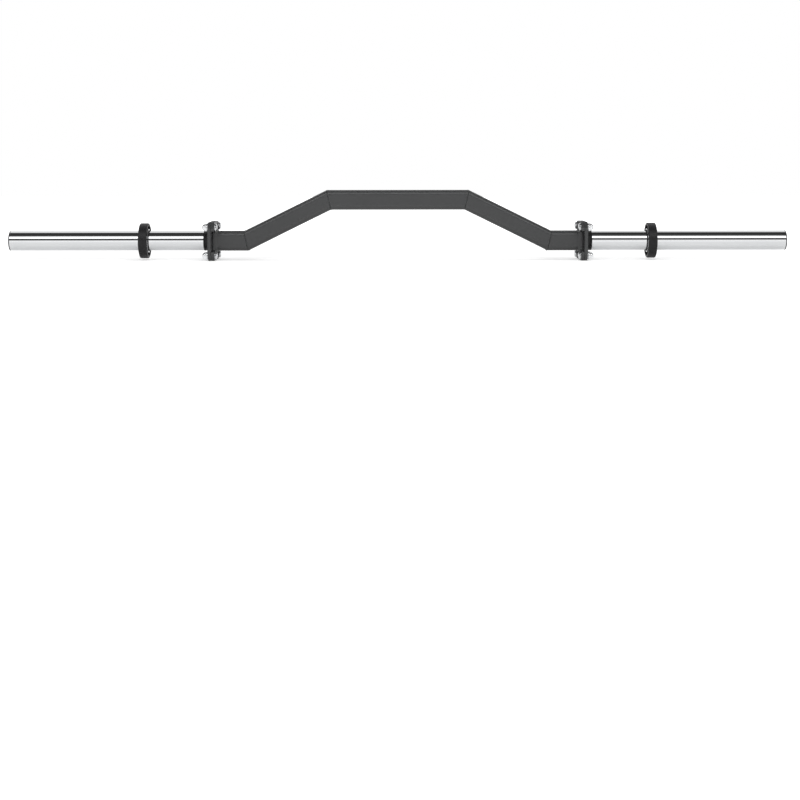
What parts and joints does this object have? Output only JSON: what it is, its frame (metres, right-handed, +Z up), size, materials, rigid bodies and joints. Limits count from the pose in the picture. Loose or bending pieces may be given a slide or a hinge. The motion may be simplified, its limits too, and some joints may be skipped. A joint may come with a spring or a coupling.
{
  "type": "cambered barbell",
  "caption": "Cambered strength-training bar: raised box-tube centre, bolted flanges and free-turning chromed sleeves with stop rings.",
  "frame": {"origin": "floor point under the middle of the bar: bottom centre of the bounding box", "axes": "+X along the bar towards its right sleeve, +Y from the front face to the back face, +Z up, towards the raised section"},
  "size_m": [1.984, 0.122, 0.178],
  "materials": {
    "anthracite_paint": "fine-textured powder coat",
    "sleeve_chrome": "polished hard chrome",
    "bolt_chrome": "polished",
    "zinc_plate": "bright zinc plate",
    "spindle_steel": "bare drawn steel",
    "black_nylon": "satin black nylon",
    "ring_black": "satin black",
    "black_oxide": "black oxide spring steel",
    "bronze": "sintered bronze"
  },
  "bodies": {
    "bar": {"center_tube": "anthracite_paint", "left_slope_tube": "anthracite_paint", "right_slope_tube": "anthracite_paint", "left_stub_tube": "anthracite_paint", "right_stub_tube": "anthracite_paint", "left_inner_flange": "anthracite_paint", "left_outer_flange": "anthracite_paint", "left_bolt_top_front": "bolt_chrome", "left_bolt_top_back": "bolt_chrome", "left_bolt_bottom_front": "bolt_chrome", "left_bolt_bottom_back": "bolt_chrome", "left_head_washer_top_front": "zinc_plate", "left_head_washer_top_back": "zinc_plate", "left_head_washer_bottom_front": "zinc_plate", "left_head_washer_bottom_back": "zinc_plate", "left_nut_washer_top_front": "zinc_plate", "left_nut_washer_top_back": "zinc_plate", "left_nut_washer_bottom_front": "zinc_plate", "left_nut_washer_bottom_back": "zinc_plate", "left_cap_nut_top_front": "bolt_chrome", "left_cap_nut_top_back": "bolt_chrome", "left_cap_nut_bottom_front": "bolt_chrome", "left_cap_nut_bottom_back": "bolt_chrome", "left_spindle": "spindle_steel", "left_flanged_bush": "black_nylon", "left_snap_ring": "black_oxide", "right_inner_flange": "anthracite_paint", "right_outer_flange": "anthracite_paint", "right_bolt_top_front": "bolt_chrome", "right_bolt_top_back": "bolt_chrome", "right_bolt_bottom_front": "bolt_chrome", "right_bolt_bottom_back": "bolt_chrome", "right_head_washer_top_front": "zinc_plate", "right_head_washer_top_back": "zinc_plate", "right_head_washer_bottom_front": "zinc_plate", "right_head_washer_bottom_back": "zinc_plate", "right_nut_washer_top_front": "zinc_plate", "right_nut_washer_top_back": "zinc_plate", "right_nut_washer_bottom_front": "zinc_plate", "right_nut_washer_bottom_back": "zinc_plate", "right_cap_nut_top_front": "bolt_chrome", "right_cap_nut_top_back": "bolt_chrome", "right_cap_nut_bottom_front": "bolt_chrome", "right_cap_nut_bottom_back": "bolt_chrome", "right_spindle": "spindle_steel", "right_flanged_bush": "black_nylon", "right_snap_ring": "black_oxide"},
    "left_sleeve_unit": {"left_sleeve": "sleeve_chrome", "left_outer_bush": "bronze", "left_end_plug": "black_nylon", "left_stop_ring": "ring_black", "left_ring_hub": "sleeve_chrome", "left_ring_bush": "ring_black"},
    "right_sleeve_unit": {"right_sleeve": "sleeve_chrome", "right_outer_bush": "bronze", "right_end_plug": "black_nylon", "right_stop_ring": "ring_black", "right_ring_hub": "sleeve_chrome", "right_ring_bush": "ring_black"}
  },
  "joints": [
    {"name": "left_sleeve_spin", "type": "hinge", "parent": "bar", "child": "left_sleeve_unit", "pos_m": [-0.74, 0, 0.049], "axis": [1, 0, 0], "continuous": true},
    {"name": "right_sleeve_spin", "type": "hinge", "parent": "bar", "child": "right_sleeve_unit", "pos_m": [0.74, 0, 0.049], "axis": [1, 0, 0], "continuous": true}
  ]
}
